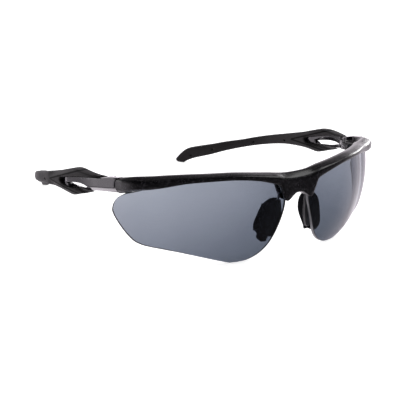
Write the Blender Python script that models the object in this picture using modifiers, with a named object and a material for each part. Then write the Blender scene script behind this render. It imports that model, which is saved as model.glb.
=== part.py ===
"""Half-rim wraparound safety glasses, built as separate pieces.

The wearer looks along -Y, so +X is the wearer's left. The glasses stand open on a table at z = 0,
on both lens bottoms and both temple tips. All design numbers are millimetres in the design frame,
whose y = 0 is at the lens bottoms. ORIGIN_Y moves the middle of the depth onto the origin.
"""
import bpy
import bmesh
from math import cos, hypot, pi, radians, sin, sqrt
from mathutils import Matrix, Vector

MM = 0.001
ORIGIN_Y = 66.06
GAP = 0.3
SIDES = {"right": -1.0, "left": 1.0}

# Lenses: cut from a spherical shell, one sphere centre for each eye.
LENS_CENTRE = (11.2, 52.1, 22.7)
LENS_RADIUS = 59.1
LENS_THICKNESS = 2.0
LENS_CELL = 3.2
# Outline as (azimuth in degrees outward from straight ahead, height), anticlockwise from the bottom.
LENS_FOOT = [(15.3, 0.0), (19.3, 0.0)]
LENS_LOWER = [(19.3, 0.0), (24.0, 1.3), (33.0, 3.8), (42.9, 5.6), (52.5, 6.6), (58.5, 7.8)]
LENS_OUTER = [(58.5, 7.8), (61.5, 10.0), (64.6, 14.0), (67.7, 17.8), (68.2, 20.0), (66.6, 24.2), (63.6, 27.0)]
LENS_UPPER = [(63.6, 27.0), (57.6, 28.9), (52.0, 32.6), (45.0, 35.2), (34.0, 37.3), (22.0, 37.8), (11.0, 37.2),
              (4.0, 35.8), (-1.5, 33.4), (-5.2, 29.6)]
LENS_NASAL = [(-5.2, 29.6), (-5.7, 25.0), (-4.4, 20.8), (-2.8, 16.3), (0.0, 9.8), (4.8, 4.2), (9.5, 1.2), (15.3, 0.0)]

# Front frame: sections from the bridge to the hinge seam, as
# (front x, front y, rear x, rear y, bottom z, front ridge z, top z).
SEAM_Y = 25.5
BROW = [
    (0.0, -8.3, 0.0, -1.9, 28.1, 33.0, 36.2),
    (6.0, -8.3, 6.0, -1.8, 28.1, 33.6, 36.4),
    (12.0, -8.2, 11.6, -1.7, 33.0, 35.9, 37.2),
    (20.8, -7.3, 20.2, -1.2, 35.4, 37.4, 38.2),
    (30.0, -4.8, 28.9, 0.9, 36.5, 38.1, 38.9),
    (39.4, -0.6, 37.5, 5.0, 36.2, 37.9, 38.7),
    (47.5, 4.6, 44.9, 9.8, 35.2, 37.2, 38.3),
    (54.0, 8.9, 50.6, 14.6, 33.5, 36.1, 37.6),
    (60.0, 12.8, 55.0, 18.6, 32.0, 35.2, 36.9),
    (64.6, 16.8, 58.4, 20.8, 31.1, 34.2, 36.2),
    (66.6, 21.0, 61.0, 22.8, 30.1, 33.3, 35.4),
    (67.4, SEAM_Y, 62.4, SEAM_Y, 29.3, 32.6, 34.5),
]
# Lower edge of the bridge and of the prong beside the nose, as (x, z).
BRIDGE_EDGE = [(0.0, 28.1), (1.8, 27.8), (3.5, 26.8), (5.4, 25.4), (6.7, 25.3), (7.6, 26.6), (8.7, 28.9),
               (9.8, 31.4), (10.8, 32.5), (12.0, 33.0)]
BRIDGE_TILT = 0.09
BROW_STEP = 2.6

# Hinges: a vertical screw through two knuckles on the frame and one on the temple.
HINGE_X, HINGE_Y = 61.9, 28.3
KNUCKLE_RADIUS = 1.9
KNUCKLES = {"lower": (28.9, 30.1), "middle": (30.4, 32.1), "upper": (32.4, 33.6)}
SCREW_RADIUS, SCREW_HEAD_RADIUS, SCREW_HEAD_HEIGHT = 0.7, 1.2, 0.6
SCREW_CLEARANCE = 0.05

# Temple centre line in plan, as (y, x).
TEMPLE_PLAN = [(24.0, 64.6), (31.0, 65.9), (40.0, 67.4), (55.0, 68.6), (70.0, 68.9), (83.0, 68.1), (95.0, 65.6),
               (110.0, 58.8), (120.0, 52.9), (131.0, 46.1), (141.0, 39.6)]
CORE_FRONT = SEAM_Y + GAP
# Hard core: its side outline as (y, z).
CORE_LOWER = [(CORE_FRONT, 29.3), (31.0, 28.3), (38.0, 27.1), (44.5, 25.8), (51.0, 25.4)]
CORE_END = [(51.0, 25.4), (56.0, 27.0)]
CORE_STRIP_LOWER = [(56.0, 27.0), (61.2, 26.1), (66.0, 24.9), (74.0, 22.9), (85.0, 20.5), (100.0, 16.4), (116.0, 11.3),
                    (124.0, 8.7)]
CORE_UPPER = [(124.5, 10.4), (116.0, 13.2), (100.0, 18.5), (85.0, 22.6), (74.0, 25.0), (66.0, 26.3), (61.2, 27.4),
              (56.2, 28.7), (50.0, 30.2), (43.0, 31.5), (36.2, 32.35)]
CORE_TOP = [(36.2, 32.35), (35.0, 33.3), (30.0, 33.9), (CORE_FRONT, 34.3)]
# Offsets of its two faces from the temple's centre line, as (y, offset outwards).
CORE_OUTER_FACE = [(CORE_FRONT, 2.6), (36.0, 2.6), (50.0, 2.5), (57.0, 2.2), (65.0, 0.7), (125.0, 0.6)]
CORE_INNER_FACE = [(CORE_FRONT, -0.6), (30.3, -0.6), (31.2, -2.6), (35.5, -2.6), (40.0, 0.2), (57.0, 0.2), (65.0, -0.7),
                   (125.0, -0.6)]
CORE_CREASES = (30.3, 31.2, 35.5, 40.0, 57.0, 65.0)
CHAMFER_HEIGHT, CHAMFER_DEPTH = 1.8, 1.5

# Soft sleeve: its side outline as (y, z), with a forked front that holds the core.
SLEEVE_TOP = [(36.2, 32.9), (37.0, 33.3), (41.0, 33.6), (47.0, 33.7), (52.5, 33.4), (57.0, 32.5), (62.0, 30.9),
              (68.0, 28.8), (80.0, 25.3), (91.0, 22.3), (100.0, 19.6), (108.0, 16.9), (116.0, 14.5), (123.0, 12.1),
              (131.0, 9.6), (135.3, 7.8), (138.0, 5.1), (140.2, 2.0)]
SLEEVE_TIP = [(140.2, 2.0), (139.9, 0.5), (138.8, 0.0), (136.4, 0.0)]
SLEEVE_BOTTOM = [(136.4, 0.0), (134.5, 1.5), (131.0, 3.4), (123.0, 6.5), (115.5, 9.8), (108.0, 12.6), (100.0, 15.2),
                 (90.0, 17.7), (80.0, 19.5), (67.0, 20.8), (60.0, 21.2), (55.5, 21.4)]
SLEEVE_PRONG = [(55.5, 21.4), (52.5, 22.3), (49.0, 23.7), (46.0, 24.7)]
SLEEVE_FORK_LOWER = [(46.0, 25.2), (51.0, 24.7), (57.5, 23.5), (61.5, 23.6), (65.0, 24.4)]
SLEEVE_FORK_UPPER = [(66.0, 26.8), (61.2, 27.8), (56.2, 29.1), (50.0, 30.6), (43.0, 31.9), (38.0, 32.7)]
# Channel that the core's tang runs in.
CHANNEL_LOWER = [(62.0, 25.6), (66.0, 24.5), (74.0, 22.5), (85.0, 20.1), (100.0, 16.0), (116.0, 10.9), (124.4, 8.2)]
CHANNEL_UPPER = [(125.0, 10.6), (116.0, 13.6), (100.0, 18.9), (85.0, 23.0), (74.0, 25.4), (66.0, 26.7), (62.0, 27.6)]
# Half the sleeve's thickness along its length, as (y, half thickness).
SLEEVE_HALF = [(36.0, 2.7), (45.0, 3.0), (58.0, 3.0), (72.0, 2.5), (85.0, 2.2), (105.0, 2.1), (130.0, 2.3), (141.0, 2.1)]
SLEEVE_CROWN = 0.45
TEMPLE_CELL = 5.0

# Nose pads: a hard carrier on a wire stub holds a soft V-shaped pad behind each lens's nasal edge.
CARRIER_PATH = [(8.0, -3.3, 25.0), (8.2, -3.5, 23.2), (8.1, -3.5, 20.5), (8.7, -3.0, 15.5), (10.8, -1.8, 9.6)]
CARRIER_HALF = (1.25, 1.0)
STUB_TOP, STUB_BOTTOM, STUB_RADIUS = 31.4, 23.6, 0.4
STUB_CLEARANCE = 0.06
PAD_LEVELS = [(25.4, 0.25), (24.2, 0.5), (21.0, 0.85), (16.6, 1.0), (12.4, 0.98), (9.6, 0.8), (7.9, 0.45)]
PAD_WING, PAD_FLANGE, PAD_THICKNESS = 8.4, 5.2, 1.9
PAD_FRONT = 0.75
PAD_SPLAY = 18.0
WING_LIFT = 1.7

MATERIALS = {
    "frame": ((0.016, 0.016, 0.019), 0.28, 0.1),
    "lens": ((0.16, 0.18, 0.21), 0.05, 0.0),
    "core": ((0.045, 0.042, 0.05), 0.22, 0.0),
    "sleeve": ((0.05, 0.047, 0.047), 0.7, 0.0),
    "pad": ((0.012, 0.012, 0.013), 0.8, 0.0),
    "carrier": ((0.05, 0.05, 0.055), 0.4, 0.0),
    "steel": ((0.45, 0.45, 0.47), 0.3, 1.0),
}


def clear_scene():
    """Remove whatever the file was opened with."""
    for old in list(bpy.data.objects):
        bpy.data.objects.remove(old)


def new_collection(name):
    """Make a collection in the scene."""
    made = bpy.data.collections.new(name)
    bpy.context.scene.collection.children.link(made)
    return made


def make_material(slot):
    """Make the plain Principled material of one slot."""
    colour, roughness, metallic = MATERIALS[slot]
    material = bpy.data.materials.new(slot)
    material.use_nodes = True
    shader = material.node_tree.nodes["Principled BSDF"]
    shader.inputs["Base Color"].default_value = (*colour, 1.0)
    shader.inputs["Roughness"].default_value = roughness
    shader.inputs["Metallic"].default_value = metallic
    return material


def value_at(x, knots):
    """Read a smooth curve through knots (x, value), flat beyond its ends."""
    if x <= knots[0][0]:
        return knots[0][1]
    for i in range(len(knots) - 1):
        (x0, v0), (x1, v1) = knots[i], knots[i + 1]
        if x <= x1:
            before = knots[max(i - 1, 0)]
            after = knots[min(i + 2, len(knots) - 1)]
            slope0 = (v1 - before[1]) / (x1 - before[0])
            slope1 = (after[1] - v0) / (after[0] - x0)
            width = x1 - x0
            t = (x - x0) / width
            rise = v0 * (2 * t ** 3 - 3 * t ** 2 + 1) + v1 * (3 * t ** 2 - 2 * t ** 3)
            return rise + width * (slope0 * (t ** 3 - 2 * t ** 2 + t) + slope1 * (t ** 3 - t ** 2))
    return knots[-1][1]


def flow(points, step):
    """Points along a smooth curve through the given points, about step apart, ends kept."""
    count = len(points)
    out = [tuple(points[0])]
    for i in range(count - 1):
        p1, p2 = points[i], points[i + 1]
        p0 = points[i - 1] if i else [2 * a - b for a, b in zip(p1, p2)]
        p3 = points[i + 2] if i + 2 < count else [2 * b - a for a, b in zip(p1, p2)]
        length = sqrt(sum((b - a) ** 2 for a, b in zip(p1, p2)))
        pieces = max(1, round(length / step))
        for k in range(1, pieces + 1):
            t = k / pieces
            weights = (
                (-t + 2 * t ** 2 - t ** 3) / 2,
                (2 - 5 * t ** 2 + 3 * t ** 3) / 2,
                (t + 4 * t ** 2 - 3 * t ** 3) / 2,
                (t ** 3 - t ** 2) / 2,
            )
            out.append(tuple(sum(w * p[j] for w, p in zip(weights, (p0, p1, p2, p3))) for j in range(len(p1))))
    return out


def outline(stretches, step):
    """Join smooth stretches into one closed outline with corners where they meet."""
    out = []
    for stretch in stretches:
        for point in flow(stretch, step):
            if not out or hypot(point[0] - out[-1][0], point[1] - out[-1][1]) > 0.05:
                out.append(point)
    if hypot(out[0][0] - out[-1][0], out[0][1] - out[-1][1]) < 0.05:
        out.pop()
    return out


def world(x, y, z):
    """A design point in metres in the object's frame."""
    return Vector((x, y - ORIGIN_Y, z)) * MM


def finish_mesh(name, bm, slot, collection):
    """Turn a bmesh into an object with its material, faces pointing out."""
    bmesh.ops.recalc_face_normals(bm, faces=bm.faces)
    if bm.calc_volume(signed=True) < 0.0:
        bmesh.ops.reverse_faces(bm, faces=bm.faces)
    mesh = bpy.data.meshes.new(name)
    bm.to_mesh(mesh)
    bm.free()
    made = bpy.data.objects.new(name, mesh)
    collection.objects.link(made)
    if slot:
        mesh.materials.append(make_material(slot))
        mesh.set_sharp_from_angle(angle=radians(35))
    else:
        made.hide_render = True
        made.display_type = "WIRE"
    return made


def plate(name, edge, cell, place, slot, collection, creases=()):
    """Fill a flat outline, cut it into cells, give it two faces and bend it with place(u, v, layer).

    Creases are extra cuts across u, where place changes abruptly.
    """
    bm = bmesh.new()
    bm.faces.new([bm.verts.new((u, v, 0.0)) for u, v in edge])
    for axis in (0, 1):
        low = min(point[axis] for point in edge)
        high = max(point[axis] for point in edge)
        cuts = max(1, round((high - low) / cell[axis]))
        normal = Vector((1.0 - axis, float(axis), 0.0))
        levels = [low + (high - low) * k / cuts for k in range(1, cuts)]
        if axis == 0:
            levels = [level for level in levels if all(abs(level - crease) > 0.9 for crease in creases)]
            levels += creases
        for level in levels:
            at = normal * level
            geometry = bm.verts[:] + bm.edges[:] + bm.faces[:]
            bmesh.ops.bisect_plane(bm, geom=geometry, dist=0.08, plane_co=at, plane_no=normal)
    bmesh.ops.triangulate(bm, faces=bm.faces[:])
    grown = bmesh.ops.extrude_face_region(bm, geom=bm.faces[:])
    for item in grown["geom"]:
        if isinstance(item, bmesh.types.BMVert):
            item.co.z = 1.0
    for vert in bm.verts:
        vert.co = place(*vert.co)
    return finish_mesh(name, bm, slot, collection)


def loft(name, rings, slot, collection):
    """Join rings of equal length into one closed body."""
    bm = bmesh.new()
    rows = [[bm.verts.new(point) for point in ring] for ring in rings]
    count = len(rows[0])
    for low, high in zip(rows, rows[1:]):
        for k in range(count):
            bm.faces.new((low[k], low[(k + 1) % count], high[(k + 1) % count], high[k]))
    bm.faces.new(rows[0])
    bm.faces.new(rows[-1])
    bmesh.ops.triangulate(bm, faces=bm.faces[:])
    return finish_mesh(name, bm, slot, collection)


def cylinder(name, x, y, low, high, radius, slot, collection, sides=24):
    """A vertical cylinder."""
    bm = bmesh.new()
    centre = world(x, y, (low + high) / 2)
    bmesh.ops.create_cone(bm, cap_ends=True, segments=sides, radius1=radius * MM, radius2=radius * MM,
                          depth=(high - low) * MM, matrix=Matrix.Translation(centre))
    return finish_mesh(name, bm, slot, collection)


def hang_on(pivot_name, point, pieces, collection):
    """Parent pieces to an empty on their joint's axis, leaving them where they are."""
    pivot = bpy.data.objects.new(pivot_name, None)
    pivot.location = point
    pivot.empty_display_size = 5 * MM
    collection.objects.link(pivot)
    for piece in pieces:
        piece.parent = pivot
        piece.matrix_parent_inverse = Matrix.Translation(-point)


def combine(target, tool, operation):
    """Add a live Boolean to a piece."""
    modifier = target.modifiers.new(operation.title(), "BOOLEAN")
    modifier.operation = operation
    modifier.solver = "EXACT"
    modifier.object = tool


def lens_place(side, outer, inner):
    """A mapping from lens outline to the spherical shell between two radii, its edge level everywhere."""
    cx, cy, cz = LENS_CENTRE

    def place(azimuth, height, layer):
        radius = inner + (outer - inner) * layer
        ring = sqrt(radius ** 2 - (height - cz) ** 2)
        angle = radians(azimuth)
        return world(side * (cx + ring * sin(angle)), cy - ring * cos(angle), height)

    return place


def lens_outline():
    """The lens's closed outline in degrees and millimetres."""
    return outline([LENS_FOOT, LENS_LOWER, LENS_OUTER, LENS_UPPER, LENS_NASAL], 2.6)


def grown_outline(edge, amount):
    """An anticlockwise outline moved outwards; a degree is close to a millimetre here."""
    out = []
    for k, point in enumerate(edge):
        before, after = edge[k - 1], edge[(k + 1) % len(edge)]
        du, dv = after[0] - before[0], after[1] - before[1]
        length = hypot(du, dv)
        out.append((point[0] + amount * dv / length, point[1] - amount * du / length))
    return out


def make_lens(word, side, parts):
    """One tinted lens."""
    place = lens_place(side, LENS_RADIUS, LENS_RADIUS - LENS_THICKNESS)
    return plate(word + "_lens", lens_outline(), (LENS_CELL, LENS_CELL), place, "lens", parts)


def lens_cutter(word, side, cutters):
    """The groove that a lens sits in: the lens with a gap all round."""
    place = lens_place(side, LENS_RADIUS + GAP, LENS_RADIUS - LENS_THICKNESS - GAP)
    edge = grown_outline(lens_outline(), GAP)
    return plate(word + "_lens_groove", edge, (LENS_CELL, LENS_CELL), place, None, cutters)


def brow_section(side, station):
    """One closed section of the front frame."""
    front_x, front_y, rear_x, rear_y, bottom, ridge, top = station
    tilt = BRIDGE_TILT * max(0.0, ridge - bottom - 2.5) if front_x < 12.5 else 0.0
    corner = 0.05 + 0.22 * min(1.0, max(0.0, (front_x - 56.0) / 8.0))
    shape = [
        (corner, bottom, tilt), (0.0, bottom + 0.3 * (ridge - bottom), tilt), (0.0, ridge, 0.0),
        (0.14, ridge + 0.6 * (top - ridge), 0.0), (0.42, top, 0.0), (0.7, top, 0.0),
        (0.94, top - 0.3 * (top - ridge), 0.0), (1.0, ridge - 0.1 * (ridge - bottom), 0.0),
        (1.0, bottom + 0.25 * (ridge - bottom), 0.0), (0.93, bottom, 0.0),
    ]
    points = []
    for across, height, forward in shape:
        x = front_x + across * (rear_x - front_x)
        y = front_y + across * (rear_y - front_y) - forward
        points.append(world(side * x, y, height))
    return points


def brow_stations():
    """Sections of one half of the front frame, from the bridge to the seam."""
    edge_x = [x for x, _ in BRIDGE_EDGE]
    curve = flow(BROW, 0.5)
    stations = []
    wanted = list(edge_x)
    while wanted[-1] + BROW_STEP < 60.0:
        wanted.append(wanted[-1] + BROW_STEP)
    for x in wanted:
        nearest = min(curve, key=lambda row: abs(row[0] - x))
        row = list(nearest)
        if x <= edge_x[-1]:
            row[0] = row[2] = x
            row[4] = dict(BRIDGE_EDGE)[x]
        stations.append(tuple(row))
    first = next(k for k, row in enumerate(BROW) if row[0] > 60.5)
    tail = flow(BROW[first - 1:], 2.6)
    return [row for row in stations if row[0] < tail[0][0] - 1.0] + tail


def make_front_frame(parts, cutters):
    """Brow bar with bridge, nose prongs, lens grooves and the outer hinge knuckles, in one moulding."""
    half = brow_stations()
    rings = [brow_section(-1.0, row) for row in reversed(half[1:])] + [brow_section(1.0, row) for row in half]
    frame = loft("front_frame", rings, "frame", parts)
    for word, side in SIDES.items():
        for level in ("lower", "upper"):
            low, high = KNUCKLES[level]
            combine(frame, knuckle(word + "_" + level, side, low, high, SEAM_Y - 2.0, cutters), "UNION")
    for word, side in SIDES.items():
        combine(frame, lens_cutter(word, side, cutters), "DIFFERENCE")
        x, y = side * HINGE_X, HINGE_Y
        bore = cylinder(word + "_frame_bore", x, y, 28.0, 36.5, SCREW_RADIUS + SCREW_CLEARANCE, None, cutters)
        combine(frame, bore, "DIFFERENCE")
        top = CARRIER_PATH[0]
        stub = cylinder(word + "_stub_hole", side * top[0], top[1], STUB_BOTTOM, STUB_TOP + GAP,
                        STUB_RADIUS + STUB_CLEARANCE, None, cutters, 12)
        combine(frame, stub, "DIFFERENCE")
    return frame


def knuckle(name, side, low, high, root_y, cutters):
    """A hinge knuckle: a round eye with an arm to its root."""
    count = 14
    ring = []
    for k in range(count + 1):
        angle = pi * k / count
        ring.append((HINGE_X + KNUCKLE_RADIUS * cos(angle), HINGE_Y + KNUCKLE_RADIUS * sin(angle)))
    toward = 1.0 if root_y > HINGE_Y else -1.0
    eye = [(x, HINGE_Y - toward * (y - HINGE_Y)) for x, y in ring]
    reach, flare = (0.9, 0.1) if toward < 0 else (1.2, 1.4)
    eye += [(HINGE_X - KNUCKLE_RADIUS + reach, root_y), (HINGE_X + KNUCKLE_RADIUS + flare, root_y)]
    levels = [[world(side * x, y, z) for x, y in eye] for z in (low, high)]
    return loft(name + "_knuckle", levels, None, cutters)


def temple_frame(y):
    """Centre line point and outward direction of a temple at a depth y, on the left side."""
    x = value_at(y, TEMPLE_PLAN)
    slope = (value_at(y + 0.5, TEMPLE_PLAN) - value_at(y - 0.5, TEMPLE_PLAN))
    length = sqrt(1.0 + slope ** 2)
    return x, Vector((1.0 / length, -slope / length))


def temple_place(side, face):
    """A mapping from a side outline (y, z) to the bent temple; face(y, z, layer) is the offset outwards."""

    def place(y, z, layer):
        x, out = temple_frame(y)
        offset = face(y, z, layer)
        lean = min(1.0, max(0.0, (y - 30.0) / 20.0))
        return world(side * (x + offset * out.x), y + lean * offset * out.y, z)

    return place


def core_face(y, z, layer):
    """The core's faces, with a chamfer under its outer face."""
    if layer < 0.5:
        return value_at(y, CORE_INNER_FACE)
    outer = value_at(y, CORE_OUTER_FACE)
    if y < 52.0:
        above = z - value_at(y, CORE_LOWER)
        outer -= CHAMFER_DEPTH * max(0.0, 1.0 - above / CHAMFER_HEIGHT)
    return outer


def sleeve_face(y, z, layer):
    """The sleeve's faces, thickest along its middle."""
    top = value_at(y, SLEEVE_TOP)
    low = value_at(y, list(reversed(SLEEVE_BOTTOM)))
    middle, half = (top + low) / 2, max(0.6, (top - low) / 2)
    across = min(1.0, abs(z - middle) / half)
    thick = value_at(y, SLEEVE_HALF) * (1.0 - SLEEVE_CROWN * across ** 3)
    return thick if layer > 0.5 else -thick


def make_core(word, side, parts, cutters):
    """Hard temple core: hinge knuckle, open blade and a tang that runs inside the sleeve."""
    edge = outline([CORE_LOWER, CORE_END, CORE_STRIP_LOWER, CORE_UPPER, CORE_TOP], 5.0)
    core = plate(word + "_temple_core", edge, (TEMPLE_CELL, 2.6), temple_place(side, core_face), "core", parts,
                 CORE_CREASES)
    low, high = KNUCKLES["middle"]
    combine(core, knuckle(word + "_middle", side, low, high, HINGE_Y + 4.2, cutters), "UNION")
    bore = cylinder(word + "_core_bore", side * HINGE_X, HINGE_Y, 28.0, 36.5, SCREW_RADIUS + SCREW_CLEARANCE, None,
                    cutters)
    combine(core, bore, "DIFFERENCE")
    return core


def make_sleeve(word, side, parts, cutters):
    """Soft forked ear sleeve, hollow along the core's tang."""
    edge = outline([SLEEVE_TOP, SLEEVE_TIP, SLEEVE_BOTTOM, SLEEVE_PRONG, SLEEVE_FORK_LOWER, SLEEVE_FORK_UPPER], 4.0)
    edge.reverse()
    sleeve = plate(word + "_temple_sleeve", edge, (TEMPLE_CELL, 3.4), temple_place(side, sleeve_face), "sleeve", parts)
    channel = plate(word + "_tang_channel", outline([CHANNEL_LOWER, CHANNEL_UPPER], 5.0), (TEMPLE_CELL, 4.0),
                    temple_place(side, channel_face), None, cutters, CORE_CREASES)
    combine(sleeve, channel, "DIFFERENCE")
    return sleeve


def channel_face(y, z, layer):
    """The faces of the tang's channel: the core's faces with a gap."""
    if layer < 0.5:
        return value_at(y, CORE_INNER_FACE) - GAP
    return value_at(y, CORE_OUTER_FACE) + GAP


def make_screw(word, side, parts):
    """Hinge screw with a round head under the lower knuckle."""
    low = KNUCKLES["lower"][0] - GAP
    profile = [(0.0, KNUCKLES["upper"][1] - 0.2), (SCREW_RADIUS, KNUCKLES["upper"][1] - 0.2), (SCREW_RADIUS, low),
               (SCREW_HEAD_RADIUS, low), (SCREW_HEAD_RADIUS, low - SCREW_HEAD_HEIGHT), (0.0, low - SCREW_HEAD_HEIGHT)]
    mesh = bpy.data.meshes.new(word + "_hinge_screw")
    bm = bmesh.new()
    verts = [bm.verts.new(Vector((radius, 0.0, height - low)) * MM) for radius, height in profile]
    for a, b in zip(verts, verts[1:]):
        bm.edges.new((a, b))
    bm.to_mesh(mesh)
    bm.free()
    screw = bpy.data.objects.new(word + "_hinge_screw", mesh)
    screw.location = world(side * HINGE_X, HINGE_Y, low)
    parts.objects.link(screw)
    turn = screw.modifiers.new("Turn", "SCREW")
    turn.steps = 20
    turn.render_steps = 20
    turn.use_merge_vertices = True
    turn.merge_threshold = 0.00001
    mesh.materials.append(make_material("steel"))
    return screw


def make_stub(word, side, parts):
    """Wire stub that joins a nose pad carrier to the frame."""
    x, y, _ = CARRIER_PATH[0]
    return cylinder(word + "_nose_pad_stub", side * x, y, STUB_BOTTOM, STUB_TOP, STUB_RADIUS, "steel", parts, 12)


def make_carrier(word, side, parts, cutters):
    """Hard bar behind the nasal edge of the lens."""
    half_x, half_y = CARRIER_HALF
    rings = []
    path = flow(CARRIER_PATH, 3.0)
    for k, (x, y, z) in enumerate(path):
        shrink = 0.75 if k in (0, len(path) - 1) else 1.0
        ring = []
        for j in range(12):
            angle = 2 * pi * j / 12
            ring.append(world(side * (x + half_x * shrink * cos(angle)), y + half_y * shrink * sin(angle), z))
        rings.append(ring)
    carrier = loft(word + "_nose_pad_carrier", rings, "carrier", parts)
    x, y, _ = CARRIER_PATH[0]
    hole = cylinder(word + "_carrier_hole", side * x, y, STUB_BOTTOM - GAP, STUB_TOP, STUB_RADIUS + STUB_CLEARANCE,
                    None, cutters, 12)
    combine(carrier, hole, "DIFFERENCE")
    return carrier


def carrier_at(z):
    """Centre of the carrier at a height, on the left side."""
    rows = sorted((row[2], row[0], row[1]) for row in flow(CARRIER_PATH, 0.5))
    return value_at(z, [(row[0], row[1]) for row in rows]), value_at(z, [(row[0], row[2]) for row in rows])


def make_pad(word, side, parts):
    """Soft pad: a contact wing towards the nose and a flange behind the lens, in a V round the carrier."""
    wing = (sin(radians(PAD_SPLAY)), cos(radians(PAD_SPLAY)))
    normal = (wing[1], -wing[0])
    rings = []
    for z, share in PAD_LEVELS:
        x, y = carrier_at(z)
        front = y - PAD_FRONT
        clear = CARRIER_HALF[0] + GAP
        root_x, root_y = x - 0.2, y + CARRIER_HALF[1] + GAP
        reach = PAD_WING * share
        flange = PAD_FLANGE * share
        back = (root_x + wing[0] * reach, root_y + wing[1] * reach - 1.6)
        section = [
            (root_x - 0.5, root_y),
            (back[0] - 0.5, back[1]),
            (back[0] + 0.5, back[1] + 0.5),
            (back[0] + normal[0] * PAD_THICKNESS, back[1] + normal[1] * PAD_THICKNESS),
            (root_x + normal[0] * PAD_THICKNESS + 1.0, root_y + normal[1] * PAD_THICKNESS + 1.9),
            (x + clear + flange, front + 2.1),
            (x + clear + flange + 0.3, front + 1.0),
            (x + clear + flange, front + 0.35),
            (x + clear, front + 0.1),
            (x + clear, root_y),
        ]
        lift = WING_LIFT * (PAD_LEVELS[0][0] - z) / (PAD_LEVELS[0][0] - PAD_LEVELS[-1][0])
        lifts = [0.0, lift, lift, lift] + [0.0] * 6
        rings.append([world(side * px, py, z + up) for (px, py), up in zip(section, lifts)])
    return loft(word + "_nose_pad", rings, "pad", parts)


def main():
    """Build every piece."""
    clear_scene()
    parts = new_collection("safety_glasses")
    cutters = new_collection("cutters")
    make_front_frame(parts, cutters)
    for word, side in SIDES.items():
        make_lens(word, side, parts)
        make_screw(word, side, parts)
        make_stub(word, side, parts)
        temple = [make_core(word, side, parts, cutters), make_sleeve(word, side, parts, cutters)]
        hinge = world(side * HINGE_X, HINGE_Y, KNUCKLES["middle"][0])
        hang_on(word + "_temple_pivot", hinge, temple, parts)
        nose = [make_carrier(word, side, parts, cutters), make_pad(word, side, parts)]
        stub_x, stub_y, stub_z = CARRIER_PATH[0]
        hang_on(word + "_nose_pad_pivot", world(side * stub_x, stub_y, stub_z), nose, parts)


main()
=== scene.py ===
"""Half-rim wraparound safety glasses: the finished look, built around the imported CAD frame.

Design numbers are millimetres, with +X the wearer's left, -Y the way the wearer looks and z = 0 on
the table. y = 0 is at the bottoms of the lenses, and PLAN_SHIFT moves it to where the frame has it.
"""
import bmesh
import bpy
from math import atan2, copysign, cos, hypot, pi, radians, sin, sqrt
import numpy as np
from mathutils import Matrix, Vector
from mathutils.geometry import delaunay_2d_cdt

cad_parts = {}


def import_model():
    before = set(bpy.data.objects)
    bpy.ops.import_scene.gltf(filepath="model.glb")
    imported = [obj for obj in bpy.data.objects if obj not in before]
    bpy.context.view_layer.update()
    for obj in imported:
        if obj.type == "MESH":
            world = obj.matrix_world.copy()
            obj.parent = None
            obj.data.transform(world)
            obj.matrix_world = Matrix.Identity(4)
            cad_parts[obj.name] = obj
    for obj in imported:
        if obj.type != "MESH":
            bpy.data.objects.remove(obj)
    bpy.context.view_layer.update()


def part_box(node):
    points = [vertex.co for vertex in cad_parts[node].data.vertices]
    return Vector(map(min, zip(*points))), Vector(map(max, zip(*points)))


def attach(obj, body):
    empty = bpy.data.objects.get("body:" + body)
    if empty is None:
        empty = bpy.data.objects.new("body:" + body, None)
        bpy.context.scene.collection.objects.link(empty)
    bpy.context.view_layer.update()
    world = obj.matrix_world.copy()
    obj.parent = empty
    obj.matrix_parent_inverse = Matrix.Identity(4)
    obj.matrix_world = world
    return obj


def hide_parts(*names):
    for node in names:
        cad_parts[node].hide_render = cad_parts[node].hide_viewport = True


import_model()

MM = 0.001
SIDES = {"right": -1.0, "left": 1.0}

# The hinge axis sits at HINGE in the design; the frame says where that is.
HINGE = (61.9, 28.3)
screw_low, screw_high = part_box("left_hinge_screw")
PLAN_SHIFT = HINGE[1] - (screw_low.y + screw_high.y) / 2 / MM

# Lenses
LENS_CENTRE = (11.2, 52.1, 22.7)
LENS_RADIUS = 59.1
LENS_THICKNESS = 2.0
# The shell swells away from the sphere near the temples: (azimuth in degrees, millimetres).
LENS_BULGE = [(34.0, 0.0), (40.0, 0.3), (45.0, 1.2), (50.0, 2.2), (57.0, 3.1), (62.0, 3.0),
              (68.0, 2.2)]
LENS_OUTLINE = [
    [(15.3, 0.0), (18.6, 0.0)],
    [(18.6, 0.0), (31.0, 3.5), (46.0, 7.1), (55.0, 9.0), (59.5, 12.0), (66.0, 20.0), (66.5, 23.5),
     (64.5, 27.2), (61.0, 29.6), (56.8, 31.1)],
    [(56.8, 31.1), (45.0, 35.2), (34.0, 37.3), (22.0, 37.8), (10.0, 37.0), (0.0, 34.3),
     (-4.8, 29.6)],
    [(-4.8, 29.6), (-4.5, 22.0), (0.0, 9.4), (4.5, 3.6), (10.0, 0.7), (15.3, 0.0)],
]
GROOVE_GAP = 0.12
LENS_BEVEL = 0.3
# The nasal part of the cut edge carries a painted highlight, up to this azimuth.
PAINTED_HIGHLIGHT_AZIMUTH = 8.0
# The smoke colour of the surface, lightened by a share that grows outwards and upwards, by so much a
# millimetre; the lightening is a painted reflection.
PAINTED_REFLECTION_ACROSS, PAINTED_REFLECTION_UP = 0.0075, 0.0115
SMOKE_WITH_PAINTED_REFLECTION = [
    (0.0, (0.15, 0.175, 0.215)),
    (0.35, (0.24, 0.265, 0.32)),
    (0.75, (0.48, 0.505, 0.57)),
    (1.0, (0.72, 0.74, 0.79)),
]
LENS_BODY, LENS_DENSITY = (0.10, 0.13, 0.20), 385.0

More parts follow.
